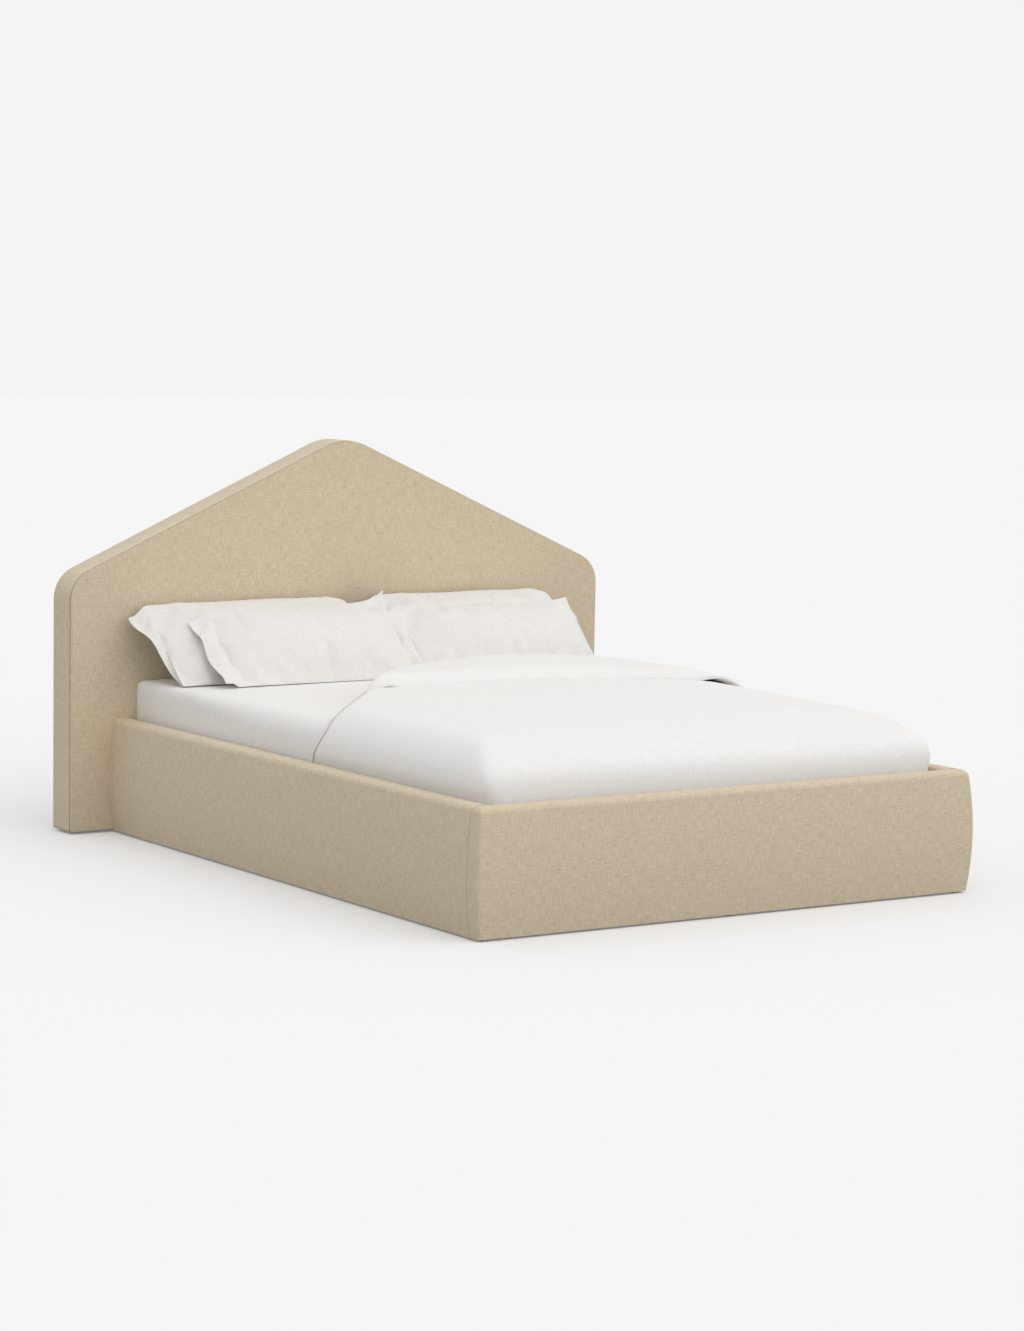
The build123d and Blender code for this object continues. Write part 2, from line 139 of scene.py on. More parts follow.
key = bpy.data.objects.new("key_light", bpy.data.lights.new("key_light", "SUN"))
key.data.energy = KEY_STRENGTH
key.data.angle = KEY_SOFTNESS
key.rotation_euler = KEY_FROM.to_track_quat("Z", "Y").to_euler()
scene.collection.objects.link(key)

bm = bmesh.new()
bmesh.ops.create_grid(bm, x_segments=1, y_segments=1, size=FLOOR_HALF)
floor = bpy.data.objects.new("studio_floor", bpy.data.meshes.new("studio_floor"))
bm.to_mesh(floor.data)
bm.free()
floor.data.materials.append(studio_floor_material())
scene.collection.objects.link(floor)


# ---- Upholstery linen ----------------------------------------------------------------------------
# A plain-woven linen and cotton blend in oatmeal: uneven yarn in both directions, thicker slubs
# here and there, a dry matt surface with a slight bloom where it is seen edge on.
LINEN_PALE, LINEN_DEEP = "E0D1B8", "C8B798"
LINEN_YARN = 0.0030       # drawn about twice as coarse as the real yarn, so that it shows
LINEN_SLUB = 0.028


def woven(name, pale, deep, yarn, slub, relief, sheen, mottle=0.10):
    """A plain weave: uneven yarns that run both ways over a faint unevenness of the dye. yarn is a yarn's
    width, slub the length of its thick places and relief its height, in metres."""
    material, tree = blank_material(name)
    run = add(tree, "TexCoord", {}).outputs["UV"]
    yarns = []
    for stretch in ((slub, yarn, 1.0), (yarn, slub, 1.0)):
        place = add(tree, "Mapping", {"Vector": run, "Scale": [1 / s for s in stretch]})
        yarns.append(add(tree, "TexNoise", {"Vector": place, "Scale": 1.0, "Detail": 3.0}))
    weave = add(tree, "Math", {0: yarns[0], 1: yarns[1]}, operation="ADD")
    cloud = add(tree, "TexNoise", {"Vector": run, "Scale": 9.0, "Detail": 4.0})
    uneven = add(tree, "Math", {0: cloud, 1: mottle, 2: weave}, operation="MULTIPLY_ADD")
    share = add(tree, "MapRange", {"Value": uneven, "From Min": 0.72 + mottle / 2,
                                   "From Max": 1.28 + mottle / 2})
    colour = add(tree, "Mix", {0: share, 6: linear(deep), 7: linear(pale)}, data_type="RGBA")
    bump = add(tree, "Bump", {"Height": weave, "Strength": 0.5, "Distance": relief})
    cloth = add(tree, "BsdfPrincipled", {
        "Base Color": colour.outputs[2], "Normal": bump, "Roughness": 0.92,
        "Sheen Weight": sheen, "Sheen Roughness": 0.6, "Specular IOR Level": 0.2})
    add(tree, "OutputMaterial", {"Surface": cloth})
    return material


def lay_cloth(mesh):
    """Runs the weave over a piece in metres, with the warp up the upright faces and along the tops."""
    run = mesh.uv_layers.new(name="weave")
    for face in mesh.polygons:
        facing = max(range(3), key=lambda i: abs(face.normal[i]))
        across, along = ((1, 2), (0, 2), (0, 1))[facing]
        for loop in face.loop_indices:
            place = mesh.vertices[mesh.loops[loop].vertex_index].co
            run.data[loop].uv = (place[across], place[along])


def new_piece(name, bm, material, body):
    """Makes a bmesh into a piece of the bed, with its finish and the body that it rides on."""
    bmesh.ops.recalc_face_normals(bm, faces=bm.faces)
    mesh = bpy.data.meshes.new(name)
    bm.to_mesh(mesh)
    bm.free()
    mesh.materials.append(material)
    mesh.shade_smooth()
    piece = bpy.data.objects.new(name, mesh)
    scene.collection.objects.link(piece)
    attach(piece, body)
    return piece


def set_modifiers(piece):
    """Fixes the piece's modifiers into its mesh."""
    scene_state = bpy.context.evaluated_depsgraph_get()
    mesh = bpy.data.meshes.new_from_object(piece.evaluated_get(scene_state))
    piece.modifiers.clear()
    piece.data = mesh


linen = woven("oatmeal_linen", LINEN_PALE, LINEN_DEEP, LINEN_YARN, LINEN_SLUB, 0.0006, 0.15)


# ---- Headboard -----------------------------------------------------------------------------------
# A gable of padded ply: a front panel of linen sewn to a boxing band that runs round the edge,
# over foam and wadding, with a row of topstitching beside the seam and a plain back panel.
HEAD_LOW, HEAD_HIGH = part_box("headboard_boxing_band")
HEAD_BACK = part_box("headboard_back_cloth")[1].y
HEAD_HALF = HEAD_HIGH.x
HEAD_PEAK = 1.240         # where the two slopes would meet
HEAD_SHOULDER = 0.800     # where a slope and the straight side would meet
SHOULDER_R, PEAK_R, TOE_R = 0.105, 0.180, 0.008
HEAD_SLOPE = math.atan2(HEAD_PEAK - HEAD_SHOULDER, HEAD_HALF)
ARC_STEPS = 16
SEAM_INSET = 0.009
SEAM_GAP = 0.0008
FOAM_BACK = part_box("headboard_foam")[1].y
FRONT_EDGE_R, FRONT_EDGE_STEPS = 0.005, 4
FRONT_CROWN = ((0.030, 0.0005), (0.060, 0.0), (0.062, 0.0))    # inset, and how far behind the front
BOXING_STEPS = 6
WADDING = 0.007
BACK_HEM = 0.010
STITCH_PITCH, STITCH_LENGTH, STITCH_R = 0.0070, 0.0048, 0.0005
STITCH_INSET, STITCH_SUNK = 0.006, 0.0006


def gable_outline(inset):
    """The headboard's outline, moved inwards, as (x, z) points from its left toe anticlockwise."""
    half = HEAD_HALF - inset
    peak = HEAD_PEAK - inset / math.cos(HEAD_SLOPE)
    shoulder = peak - half * math.tan(HEAD_SLOPE)
    low = HEAD_LOW.z + inset
    places = ((-half, low), (half, low), (half, shoulder), (0, peak), (-half, shoulder))
    corners = [Vector(place) for place in places]
    full_radii = (TOE_R, TOE_R, SHOULDER_R, PEAK_R, SHOULDER_R)
    outline = []
    for corner, before, after, full_r in zip(corners, corners[-1:] + corners, corners[1:] + corners[:1],
                                             full_radii):
        radius = max(full_r - inset, 0.001)
        back, on = (before - corner).normalized(), (after - corner).normalized()
        half_turn = (math.pi - back.angle(on)) / 2
        centre = corner + (back + on).normalized() * radius / math.cos(half_turn)
        start = corner + back * radius * math.tan(half_turn) - centre
        end = corner + on * radius * math.tan(half_turn) - centre
        arc = (start.slerp(end, i / ARC_STEPS) for i in range(ARC_STEPS + 1))
        outline += [centre + spoke.normalized() * radius for spoke in arc]
    return outline


def gable_form(steps):
    """A closed form that runs through the outline at each (inset, y) in turn."""
    def in_order(points, across, up):
        return sorted(points, key=lambda p: math.atan2(p[up] - HEAD_SHOULDER / 2, p[across]))

    bm = bmesh.new()
    last = bm.faces.new([bm.verts.new((x, steps[0][1], z)) for x, z in gable_outline(steps[0][0])])
    for inset, y in steps[1:]:
        made = bmesh.ops.extrude_face_region(bm, geom=[last])["geom"]
        last = next(f for f in made if isinstance(f, bmesh.types.BMFace))
        ring = sorted(last.verts, key=lambda v: math.atan2(v.co.z - HEAD_SHOULDER / 2, v.co.x))
        for vert, (x, z) in zip(ring, in_order(gable_outline(inset), 0, 1)):
            vert.co = (x, y, z)
    return bm


def rounding(inset, y, radius, count):
    """The steps of a rounded front edge that ends at that y."""
    angles = [math.pi / 2 * i / count for i in range(count + 1)]
    return [(inset + radius * (1 - math.cos(a)), y + radius * (1 - math.sin(a))) for a in angles]


front_inset = SEAM_INSET + SEAM_GAP
front_steps = [(front_inset, FOAM_BACK)]
front_steps += rounding(front_inset, HEAD_LOW.y + 0.0012, FRONT_EDGE_R, FRONT_EDGE_STEPS)
front_steps += [(inset, HEAD_LOW.y + behind) for inset, behind in FRONT_CROWN]
headboard_front = new_piece("headboard_front", gable_form(front_steps), linen, "frame")
headboard_front.data.set_sharp_from_angle(angle=math.radians(60))
lay_cloth(headboard_front.data)
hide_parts("headboard_front_fabric", "headboard_foam")

bm = gable_form([(BACK_HEM, HEAD_BACK - 0.001), (0.003, HEAD_BACK - 0.001), (0, HEAD_BACK - 0.004)]
                + rounding(0, HEAD_LOW.y, SEAM_INSET, BOXING_STEPS) + [(front_inset, HEAD_LOW.y + 0.004)])
ends = sorted(bm.faces, key=lambda face: -face.calc_area())[:2]
bmesh.ops.delete(bm, geom=ends, context="FACES_ONLY")
headboard_boxing = new_piece("headboard_boxing", bm, linen, "frame")
wadding = headboard_boxing.modifiers.new("wadding", "SOLIDIFY")
wadding.thickness = WADDING
wadding.offset = -1.0
set_modifiers(headboard_boxing)
headboard_boxing.data.set_sharp_from_angle(angle=math.radians(60))
lay_cloth(headboard_boxing.data)
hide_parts("headboard_boxing_band", "headboard_edge_wadding")

bm = gable_form([(BACK_HEM - 0.001, HEAD_BACK - 0.003), (BACK_HEM - 0.001, HEAD_BACK - 0.001),
                 (BACK_HEM + 0.001, HEAD_BACK), (BACK_HEM + 0.030, HEAD_BACK - 0.0002)])
backing = woven("backing_linen", "CDBFA4", "B5A586", 0.0042, 0.050, 0.0006, 0.10)
headboard_back = new_piece("headboard_back", bm, backing, "frame")
headboard_back.data.set_sharp_from_angle(angle=math.radians(40))
lay_cloth(headboard_back.data)
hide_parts("headboard_back_cloth")


def stitches(line, y):
    """A running stitch along a closed line of (x, z) points: each is a short thread, pulled in."""
    bm = bmesh.new()
    carried = 0.0
    for start, end in zip(line, line[1:]):
        along = end - start
        while carried < along.length:
            place = start + along.normalized() * carried
            turn = Matrix.Rotation(-math.atan2(along.y, along.x), 4, "Y")
            shape = Matrix.Diagonal((STITCH_LENGTH / 2, STITCH_R, STITCH_R, 1))
            bmesh.ops.create_icosphere(bm, subdivisions=1, radius=1.0,
                                       matrix=Matrix.Translation((place.x, y, place.y)) @ turn @ shape)
            carried += STITCH_PITCH
        carried -= along.length
    return bm


thread = woven("upholstery_thread", "CBBB9C", "B3A282", 0.001, 0.004, 0.0002, 0.2)
bm = stitches(gable_outline(SEAM_INSET + STITCH_INSET), HEAD_LOW.y + STITCH_SUNK)
topstitch = new_piece("headboard_topstitch", bm, thread, "frame")
lay_cloth(topstitch.data)


# ---- Side rails and footboard --------------------------------------------------------------------
# Pine boards padded with foam that swells outwards, each in a fitted linen cover. The footboard's
# cover turns both corners and meets the side covers in an upright seam just behind them.
RAIL_LOW, RAIL_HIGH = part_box("side_rail_fabric_right")
FOOT_LOW, FOOT_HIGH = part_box("footboard_fabric")
RAIL_SWELL = 0.011
FACE_EDGE_R, WELL_EDGE_R = 0.022, 0.012
CORNER_R, CORNER_STEPS = 0.010, 6
BUTT_R = 0.0025
FACE_ROWS, EDGE_ROWS = 16, 9


def padded_heights(low, high):
    """The heights of the rings that shape a rail, closer together round its top edge."""
    straight = [low + (high - FACE_EDGE_R - low) * i / FACE_ROWS for i in range(FACE_ROWS + 1)]
    turns = [math.pi / 2 * i / EDGE_ROWS for i in range(1, EDGE_ROWS + 1)]
    return straight + [high - FACE_EDGE_R + FACE_EDGE_R * math.sin(turn) for turn in turns]


def face_out(z, low, high):
    """How far the padded face stands out at a height, from its lower edge."""
    shoulder = high - FACE_EDGE_R
    if z > shoulder:
        return math.sqrt(max(FACE_EDGE_R ** 2 - (z - shoulder) ** 2, 0)) - FACE_EDGE_R
    return RAIL_SWELL * (1 - ((2 * z - low - shoulder) / (shoulder - low)) ** 2)


def well_in(z, high):
    """How far the rounding of the well-side edge has drawn in at a height."""
    above = max(z - (high - WELL_EDGE_R), 0)
    return WELL_EDGE_R - math.sqrt(max(WELL_EDGE_R ** 2 - above ** 2, 0))


def rail_cover(name, x, y, faces, well, rounded):
    """A padded cover on a rectangular plan. Its faces swell and its well side is straight; both are
    given as directions. rounded holds the radius of each upright corner, from the left front round."""
    low, high = RAIL_LOW.z, RAIL_HIGH.z
    bm = bmesh.new()
    plan = ((x[0], y[0]), (x[1], y[0]), (x[1], y[1]), (x[0], y[1]))
    made = [bm.verts.new((px, py, low)) for px, py in plan]
    top = bm.faces.new(made)
    for vert, radius in zip(made, rounded):
        bmesh.ops.bevel(bm, geom=[vert], offset=radius, affect="VERTICES", segments=CORNER_STEPS,
                        profile=0.5, material=-1)
    middle = Vector((sum(x) / 2, sum(y) / 2, 0))
    heights = padded_heights(low, high)
    for below, z in zip(heights, heights[1:]):
        top = max(bm.faces, key=lambda face: face.calc_center_median().z)
        made = bmesh.ops.extrude_face_region(bm, geom=[top])["geom"]
        outwards = face_out(z, low, high) - face_out(below, low, high)
        inwards = well_in(z, high) - well_in(below, high)
        for vert in (v for v in made if isinstance(v, bmesh.types.BMVert)):
            away = vert.co - middle
            vert.co.z = z
            for side in faces:
                if away.dot(Vector(side)) > 0:
                    vert.co += Vector(side) * outwards
            if away.dot(Vector(well)) > 0:
                vert.co -= Vector(well) * inwards
    cover = new_piece(name, bm, linen, "frame")
    cover.data.set_sharp_from_angle(angle=math.radians(50))
    lay_cloth(cover.data)
    return cover


LEFT, RIGHT, FRONT, BACK = (-1, 0, 0), (1, 0, 0), (0, -1, 0), (0, 1, 0)
RAIL_FACE_LOW = RAIL_HIGH.x - RAIL_SWELL
FOOT_FACE_LOW = FOOT_LOW.y + RAIL_SWELL
JOIN = 0.0008
for side, sign in (("left", -1), ("right", 1)):
    across = sorted((sign * RAIL_LOW.x, sign * RAIL_FACE_LOW))
    cover = rail_cover(f"side_rail_cover_{side}", across, (RAIL_LOW.y + JOIN, RAIL_HIGH.y),
                       [RIGHT if sign > 0 else LEFT], LEFT if sign > 0 else RIGHT, [BUTT_R] * 4)
    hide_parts(f"side_rail_fabric_{side}", f"side_rail_foam_{side}")
footboard_cover = rail_cover("footboard_cover", (-RAIL_FACE_LOW, RAIL_FACE_LOW),
                             (FOOT_FACE_LOW, FOOT_HIGH.y - JOIN), [LEFT, RIGHT, FRONT], BACK,
                             [CORNER_R, CORNER_R, BUTT_R, BUTT_R])
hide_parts("footboard_fabric", "footboard_foam")


# ---- Frame timber and slats ----------------------------------------------------------------------
# Planed pine members, birch slats, a birch plywood panel and turned beech legs, all unfinished or
# thinly sealed: straight grain along the piece, paler between the darker growth rings.
def timber(name, pale, deep, ring, along, roughness):
    """Sawn wood whose grain runs along one axis, 0 for X, 1 for Y and 2 for Z. ring is the size of its
    growth figure across the grain, in metres."""
    material, tree = blank_material(name)
    place = add(tree, "TexCoord", {}).outputs["Object"]
    stretch = [1.0 / ring] * 3
    stretch[along] = 0.6
    grown = add(tree, "Mapping", {"Vector": place, "Scale": stretch})
    wander = add(tree, "TexNoise", {"Vector": grown, "Scale": 0.35, "Detail": 3.0, "Distortion": 0.6})
    fibre = add(tree, "TexNoise", {"Vector": grown, "Scale": 5.0, "Detail": 3.0})
    rings = add(tree, "Math", {0: wander, 1: 24.0}, operation="MULTIPLY")
    wave = add(tree, "Math", {0: rings}, operation="SINE")
    share = add(tree, "MapRange", {"Value": wave, "From Min": -1.0, "To Min": 0.25, "To Max": 1.0})
    mixed = add(tree, "Math", {0: fibre, 1: 0.35, 2: share}, operation="MULTIPLY_ADD")
    colour = add(tree, "Mix", {0: mixed, 6: linear(deep), 7: linear(pale)}, data_type="RGBA")
    bump = add(tree, "Bump", {"Height": fibre, "Strength": 0.25, "Distance": 0.0005})
    wood = add(tree, "BsdfPrincipled", {"Base Color": colour.outputs[2], "Normal": bump,
                                        "Roughness": roughness})
    add(tree, "OutputMaterial", {"Surface": wood})
    return material


def finish_nodes(material, *names):
    """Gives CAD nodes their finish."""
    for name in names:
        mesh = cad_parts[name].data
        mesh.materials.clear()
        mesh.materials.append(material)


PINE_PALE, PINE_DEEP, PINE_RING, PINE_ROUGHNESS = "DCC08F", "BF9A63", 0.010, 0.62
pine_across, pine_along, pine_upright = (
    timber(f"planed_pine_{way}", PINE_PALE, PINE_DEEP, PINE_RING, axis, PINE_ROUGHNESS)
    for axis, way in enumerate(("across", "along", "upright")))
birch = timber("birch_slat", "E3CDA2", "CDAF7C", 0.006, 0, 0.48)
plywood = timber("birch_plywood", "DABF91", "C3A06C", 0.020, 2, 0.58)
beech = timber("turned_beech", "C9A277", "AE8257", 0.004, 2, 0.45)
finish_nodes(pine_across, "headboard_bottom_rail", "footboard_board", "headboard_gable_rail_left",
             "headboard_gable_rail_right")
finish_nodes(pine_along, "side_rail_board_left", "side_rail_board_right", "slat_ledger_left",
             "slat_ledger_right", "centre_beam")
finish_nodes(pine_upright, "headboard_stile_left", "headboard_stile_right", "headboard_post_left",
             "headboard_post_right", "headboard_centre_stile")
finish_nodes(plywood, "headboard_plywood_panel")
finish_nodes(birch, *(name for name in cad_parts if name[:5] == "slat_" and name[5:].isdigit()))
finish_nodes(beech, "centre_leg_1", "centre_leg_2")


# ---- Brackets, fasteners and feet ----------------------------------------------------------------
# Pressed steel brackets in black powder coat, zinc-plated bolts and screws, natural nylon glides and
# levelling feet, and the polyester webbing that keeps the slats apart.
def hard_finish(name, pale, deep, grain, metallic, roughness):
    """A coated, plated or moulded surface with a fine unevenness. grain is its size, in metres."""
    material, tree = blank_material(name)
    place = add(tree, "TexCoord", {}).outputs["Object"]
    grains = add(tree, "TexNoise", {"Vector": place, "Scale": 1 / grain, "Detail": 2.0})
    colour = add(tree, "Mix", {0: grains, 6: linear(deep), 7: linear(pale)}, data_type="RGBA")
    rough = add(tree, "MapRange", {"Value": grains, "To Min": roughness - 0.08, "To Max": roughness + 0.08})
    bump = add(tree, "Bump", {"Height": grains, "Strength": 0.3, "Distance": 0.0002})
    surface = add(tree, "BsdfPrincipled", {"Base Color": colour.outputs[2], "Roughness": rough,
                                           "Normal": bump, "Metallic": metallic})
    add(tree, "OutputMaterial", {"Surface": surface})
    return material


finish_nodes(hard_finish("black_powder_coat", "2C2C2E", "1B1B1D", 0.0015, 0.0, 0.50),
             "head_brackets", "foot_brackets", "beam_hangers")
finish_nodes(hard_finish("zinc_plate", "D2D3D0", "B4B6B4", 0.004, 1.0, 0.38),
             "bracket_bolts", "frame_screws", "slat_screws")
finish_nodes(hard_finish("moulded_nylon", "CFC6B2", "BDB39C", 0.003, 0.0, 0.45),
             "floor_glides", "levelling_foot_1", "levelling_foot_2")
webbing = woven("polyester_webbing", "4A4A4C", "2E2E30", 0.0016, 0.010, 0.0006, 0.1)
lay_cloth(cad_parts["slat_webbing"].data)
finish_nodes(webbing, "slat_webbing")


# ---- Bed linen -----------------------------------------------------------------------------------
# Washed white linen for the sheet, duvet and pillowcases: a fine slubby weave, soft and matt.
BEDDING_YARN, BEDDING_SLUB = 0.0032, 0.040    # drawn coarser than the real yarn, so that it shows
BEDDING_RELIEF, BEDDING_SHEEN = 0.0005, 0.10
bed_linen = woven("washed_white_linen", "F3F2F0", "E9E7E4", BEDDING_YARN, BEDDING_SLUB,
                  BEDDING_RELIEF, BEDDING_SHEEN)


def ease(share):
    """Nought to one with a soft start and finish."""
    share = min(max(share, 0.0), 1.0)
    return share * share * (3 - 2 * share)


def along_path(points, x):
    """The height of a line of (x, y) points at x."""
    for (x0, y0), (x1, y1) in zip(points, points[1:]):
        if x <= x1:
            return y0 + (y1 - y0) * (x - x0) / (x1 - x0) if x > x0 else y0
    return points[-1][1]


def flat_weave(bm):
    """Runs the weave over flat cloth, in metres, before it is shaped."""
    run = bm.loops.layers.uv.new("weave")
    for face in bm.faces:
        for loop in face.loops:
            loop[run].uv = loop.vert.co.xy


def fitted_cloth(half, y, top, hem, foot_edge, head_edge, square, step, head_drops):
    """A flat grid of cloth with its corners cut out, folded down the sides of a box and rounded.
    An edge is how far the rounding reaches sideways, lengthways and down from the top. square is how
    square the rounding is on plan and in profile: 2 is round, and more is squarer."""
    drop = top - hem
    folds = round(drop / step)
    across, along = round(2 * half / step), round((y[1] - y[0]) / step)
    columns, rows = across + 2 * folds, along + folds + (folds if head_drops else 0)
    bm = bmesh.new()
    bmesh.ops.create_grid(bm, x_segments=columns, y_segments=rows, size=0.5)
    bmesh.ops.scale(bm, vec=(columns * step, rows * step, 1), verts=bm.verts)
    flat_weave(bm)
    corners = []
    row_number = bm.verts.layers.int.new("row")
    for vert in bm.verts:
        column = round(vert.co.x / step + columns / 2) - folds
        row = round(vert.co.y / step + rows / 2) - folds
        vert[row_number] = row
        over_x = max(-column, column - across, 0)
        over_y = max(-row, row - along, 0)
        if over_x and over_y:
            corners.append(vert)
        vert.co = (half * (2 * min(max(column, 0), across) / across - 1),
                   y[0] + (y[1] - y[0]) * min(max(row, 0), along) / along,
                   top - drop * max(over_x, over_y) / folds)
    bmesh.ops.delete(bm, geom=corners, context="VERTS")
    bmesh.ops.remove_doubles(bm, verts=bm.verts, dist=step / 100)
    for vert in bm.verts:
        x, long, z = vert.co
        headwards = ease(((long - y[0]) / (y[1] - y[0]) - 0.55) / 0.35)
        edge = Vector(foot_edge).lerp(Vector(head_edge), headwards)
        last_y = y[1] - edge.y if head_drops else y[1]
        centre = Vector((min(max(x, edge.x - half), half - edge.x),
                         min(max(long, y[0] + edge.y), last_y), min(z, top - edge.z)))
        out = Vector([(vert.co[i] - centre[i]) / edge[i] for i in range(3)])
        on_plan = (abs(out.x) ** square[0] + abs(out.y) ** square[0]) ** (1 / square[0])
        size = (on_plan ** square[1] + abs(out.z) ** square[1]) ** (1 / square[1])
        if size > 0:
            vert.co = centre + Vector([out[i] / size * edge[i] for i in range(3)])
    return bm


def thicken(piece, thickness):
    """Gives a single layer of cloth its thickness, inwards."""
    layer = piece.modifiers.new("thickness", "SOLIDIFY")
    layer.thickness = thickness
    layer.offset = -1.0
    set_modifiers(piece)


# ---- Mattress ------------------------------------------------------------------------------------
# A queen-size foam mattress in a knitted white cover, well rounded at its edges and corners.
# It lies loose on the slats, between the rails.
MATTRESS_LOW, MATTRESS_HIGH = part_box("mattress_ticking")
MATTRESS_CORNER_R, MATTRESS_EDGE_R = 0.105, 0.100
ticking = woven("knitted_ticking", "F1F0EC", "E2E0DA", 0.006, 0.006, 0.0008, 0.05)

bm = bmesh.new()
bmesh.ops.create_cube(bm, size=1.0)
bmesh.ops.scale(bm, vec=MATTRESS_HIGH - MATTRESS_LOW, verts=bm.verts)
bmesh.ops.translate(bm, vec=(MATTRESS_LOW + MATTRESS_HIGH) / 2, verts=bm.verts)
upright = [edge for edge in bm.edges if abs(edge.verts[0].co.z - edge.verts[1].co.z) > 0.1]
bmesh.ops.bevel(bm, geom=upright, offset=MATTRESS_CORNER_R, affect="EDGES", segments=8, profile=0.5,
                material=-1)
level = [edge for edge in bm.edges if abs(edge.verts[0].co.z - edge.verts[1].co.z) < 0.01]
bmesh.ops.bevel(bm, geom=level, offset=MATTRESS_EDGE_R, affect="EDGES", segments=6, profile=0.5,
                material=-1)
mattress = new_piece("mattress", bm, ticking, "mattress")
mattress.data.set_sharp_from_angle(angle=math.radians(40))
lay_cloth(mattress.data)
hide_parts("mattress_ticking", "mattress_comfort_layer", "mattress_support_core")


# ---- Fitted sheet --------------------------------------------------------------------------------
# One piece of linen with its corners cut out and sewn, stretched over the mattress with an elastic
# hem. It crowns slightly over the mattress, and slack shows as soft upright creases at the sides.
SHEET_LOW, SHEET_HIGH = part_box("fitted_sheet")
SHEET_CROWN = 0.004
SHEET_FOOT_EDGE, SHEET_HEAD_EDGE = (0.075, 0.160, 0.070), (0.026, 0.026, 0.028)
SHEET_SQUARE = (6.0, 2.2)
SHEET_STEP = 0.0145
SHEET_THICKNESS = 0.0012
CREASE_DEPTH = 0.0030

bm = fitted_cloth(SHEET_HIGH.x, (SHEET_LOW.y, SHEET_HIGH.y), SHEET_HIGH.z, SHEET_LOW.z,
                  SHEET_FOOT_EDGE, SHEET_HEAD_EDGE, SHEET_SQUARE, SHEET_STEP, True)
for vert in bm.verts:
    x, long, z = vert.co
    side = ease((SHEET_HIGH.z - z - 0.02) / 0.05)
    vert.co.z += SHEET_CROWN * (1 - (x / SHEET_HIGH.x) ** 2) * (1 - side)
    crease = noise.noise(Vector((x * 11, long * 11, z * 1.6)))
    crease += 0.5 * noise.noise(Vector((x * 31, long * 31, z * 4)))
    if abs(x) > SHEET_HIGH.x - 0.02:
        vert.co.x -= math.copysign(max(crease, -0.1) * CREASE_DEPTH * side, x)
fitted_sheet = new_piece("fitted_sheet_cloth", bm, bed_linen, "mattress")
thicken(fitted_sheet, SHEET_THICKNESS)
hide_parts("fitted_sheet")


# ---- Duvet ---------------------------------------------------------------------------------------
# A filled duvet in a linen cover, tucked down inside the rails at both sides and the foot. Its head
# end is turned back in a deep band, at a slant on the left, where the plain edge of the duvet shows.
DUVET_LOW, DUVET_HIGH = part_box("duvet")
DUVET_HALF = DUVET_HIGH.x - 0.0006
DUVET_LENGTH = 1.4        # before its head end is cut back to the head line
DUVET_EDGE_TOP = 0.504
DUVET_CROWN = 0.036
DUVET_EDGE = (0.115, 0.290, 0.118)
DUVET_SQUARE = (7.0, 2.2)
DUVET_STEP = 0.014
DUVET_SHELL = 0.008
DUVET_RESTS = SHEET_HIGH.z + 0.004
LIES_FROM, LIES_OVER = 0.36, 0.12    # the heights over which the cover turns from hanging to lying
SIDE_LAP = 0.07
SEAM_R = 0.0016
SEAM_ROWS_IN = 2
# Where the body's head end and the band's front edge lie, as (x, y) points from left to right.
HEAD_LINE = [(-0.771, -0.180), (-0.740, -0.175), (-0.640, -0.080), (-0.480, 0.100), (-0.350, 0.230),
             (-0.150, 0.400), (0.000, 0.445), (0.188, 0.478), (0.500, 0.470), (0.650, 0.440), (0.771, 0.175)]
FRONT_LINE = [(-0.470, 0.110), (-0.400, 0.062), (-0.275, 0.043), (0.000, 0.033), (0.335, -0.020),
              (0.532, -0.062), (0.670, -0.115), (0.725, -0.170), (0.771, -0.270)]
EDGE_ROLL = 0.050
SIDE_BULGE, FOOT_BULGE = 0.008, 0.024


def soft_line(points, x):
    """The same line with its corners eased."""
    near = [along_path(points, x + shift) for shift in (-0.06, -0.03, 0, 0.03, 0.06)]
    return sum(near) / len(near)


def ripple(x, y):
    """Soft unevenness of the filling, and finer creases in the cover."""
    soft = noise.noise(Vector((x * 2.4, y * 2.4, 3.7))) * 0.009
    fine = noise.noise(Vector((x * 9 + y * 4, y * 11, 8.1))) * 0.0016
    return soft + fine


def duvet_rise(x, y):
    """How far the filling crowns above the duvet's rounded edges, and its unevenness."""
    across = max(1 - abs(x / DUVET_HALF) ** 3, 0)
    foot = ease((y - DUVET_LOW.y) / 0.80)
    return DUVET_CROWN * across * (0.35 + 0.65 * foot) + ripple(x, y) * min(1, 4 * across)


